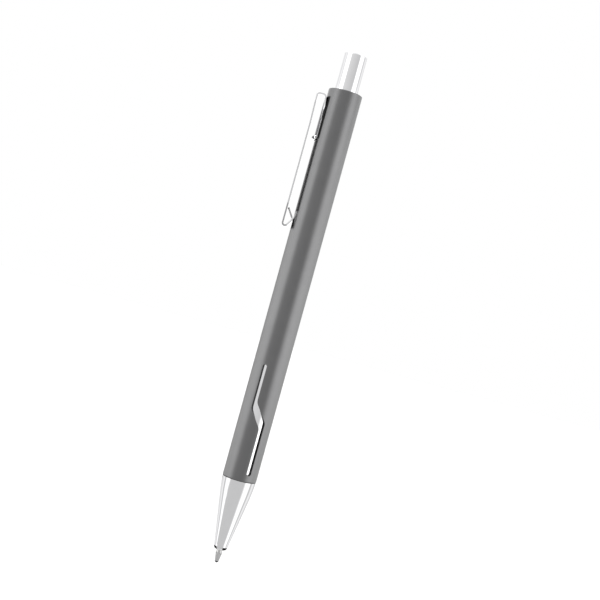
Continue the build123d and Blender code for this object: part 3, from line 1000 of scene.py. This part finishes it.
LOW_LIGHTS = [  # the same, low down
    (-179, 1.1), (-160, 1.02), (-152, 0.8), (-124, 0.8), (-118, 0.97), (-110, 0.97), (-106, 0.6),
    (-97, 0.6), (-92, 1.05), (-80, 1.25), (80, 1.25), (91, 1.08), (96, 0.6), (106, 0.6), (112, 0.92),
    (130, 0.92), (139, 0.68), (162, 0.68), (170, 0.9), (179, 1.0),
]
FLOOR_DROP = 0.06  # the pen hangs in the air, and its nose cone comes off downwards


def make_floor():
    """A plain pale floor, wide enough to fill the view."""
    mesh = bpy.data.meshes.new("floor")
    half = 3.0
    corners = [(-half, -half, 0), (half, -half, 0), (half, half, 0), (-half, half, 0)]
    mesh.from_pydata(corners, [], [(0, 1, 2, 3)])
    floor = bpy.data.objects.new("floor", mesh)
    floor.location.z = -FLOOR_DROP
    bpy.context.scene.collection.objects.link(floor)
    material, node, shader, to_shader = new_material("floor_paper")
    paper = noise(node, 40)
    to_shader("Base Color", blend_colours(node, paper, (0.95, 0.95, 0.95), (0.98, 0.98, 0.98)))
    shader.inputs["Roughness"].default_value = 0.9
    mesh.materials.append(material)
    floor.visible_glossy = False


def make_world():
    """The surroundings that the plating mirrors: lights all round, a grey panel in front and a dark floor
    outside it. The camera itself sees plain white behind the pen."""
    world = bpy.data.worlds.new("studio")
    bpy.context.scene.world = world
    world.use_nodes = True
    tree = world.node_tree
    node = node_maker(tree)

    def mix(factor, first, second):
        difference = maths(node, "SUBTRACT", second, first)
        return maths(node, "ADD", first, maths(node, "MULTIPLY", difference, factor))

    def product(first, *others):
        for other in others:
            first = maths(node, "MULTIPLY", first, other)
        return first

    split = node("ShaderNodeSeparateXYZ", {0: node("ShaderNodeTexCoord").outputs["Generated"]}).outputs
    ahead = maths(node, "MULTIPLY", split["Y"], -1.0)
    round_way = maths(node, "DEGREES", maths(node, "ARCTAN2", split["X"], ahead))
    height = maths(node, "DEGREES", maths(node, "ARCSINE", split["Z"]))

    def all_round(stops):
        share = maths(node, "ADD", maths(node, "DIVIDE", round_way, 360), 0.5)
        ramp = node("ShaderNodeValToRGB", {"Fac": share})
        elements = ramp.color_ramp.elements
        for angle, value in stops:
            elements.new(angle / 360 + 0.5).color = (value / BRIGHTEST,) * 3 + (1,)
        elements.remove(elements[0])
        elements.remove(elements[-1])
        return product(ramp.outputs["Color"], BRIGHTEST)

    # the barrel mirrors the middle zone, the button the one above it and the nose cone the one below
    high_up, low_down = step(node, height, 9.5, 10.8), step(node, height, -10.4, -12)
    lights = mix(high_up, mix(low_down, all_round(LIGHTS), all_round(LOW_LIGHTS)), all_round(HIGH_LIGHTS))

    # the panel, whose left edge leans and which fades out softly in the middle zone
    low_part = maths(node, "MINIMUM", maths(node, "MAXIMUM", height, -20), 0)
    high_part = maths(node, "MAXIMUM", height, 0)
    steep_part = maths(node, "MAXIMUM", maths(node, "MINIMUM", maths(node, "ADD", height, 25), 0), -4)
    left_edge = maths(node, "ADD", product(low_part, 0.95), product(steep_part, 4.5))
    left_edge = maths(node, "ADD", left_edge, maths(node, "SUBTRACT", product(high_part, 0.05), 42))
    softly = product(step(node, height, -12, -9.5), step(node, height, 10.8, 9.5))
    left_start = maths(node, "SUBTRACT", product(softly, -10), 9)
    right_start = maths(node, "SUBTRACT", 42, product(softly, 18))
    from_left = step(node, maths(node, "SUBTRACT", round_way, left_edge), left_start, 6)
    in_panel = product(from_left, step(node, round_way, 61, right_start))
    slope = maths(node, "ADD", product(round_way, -0.002), 0.08)
    panel = maths(node, "ADD", product(step(node, height, -15, -2), slope), 0.6)

    # dark from just below what the nose cone's side mirrors, down to near the ground
    half_way = maths(node, "RADIANS", maths(node, "DIVIDE", round_way, 2))
    brim = maths(node, "ADD", product(maths(node, "COSINE", half_way), 18.7), 13.0)
    downward = product(step(node, maths(node, "ADD", height, brim), 0, -1.0), step(node, height, -64, -60))
    light = mix(in_panel, product(lights, maths(node, "SUBTRACT", 1.0, product(downward, 0.99))), panel)
    overhead = product(step(node, height, 20, 35), 0.15)
    light = maths(node, "ADD", light, overhead)
    seen = mix(node("ShaderNodeLightPath").outputs["Is Camera Ray"], light, 1.0)
    background = tree.nodes["Background"]
    tree.links.new(seen, background.inputs["Strength"])
    background.inputs["Color"].default_value = (1, 1, 1, 1)


def make_camera():
    """Looks along +Y from close by, rolled so that the pen leans to the right."""
    roll = math.radians(15.43)
    distance = 0.3184
    data = bpy.data.cameras.new("camera")
    data.lens = 69.5
    data.sensor_width = 36
    camera = bpy.data.objects.new("camera", data)
    bpy.context.scene.collection.objects.link(camera)
    right = Vector((math.cos(roll), 0, math.sin(roll)))
    up = Vector((-math.sin(roll), 0, math.cos(roll)))
    back = Vector((0, -1, 0))
    aim = Vector((3.03 * MM, 0, LENGTH * 0.523))
    place = aim + back * distance
    camera.matrix_world = Matrix(
        (
            (right.x, up.x, back.x, place.x),
            (right.y, up.y, back.y, place.y),
            (right.z, up.z, back.z, place.z),
            (0, 0, 0, 1),
        )
    )
    bpy.context.scene.camera = camera


make_floor()
make_world()
make_camera()
bpy.context.scene.view_settings.view_transform = "Standard"
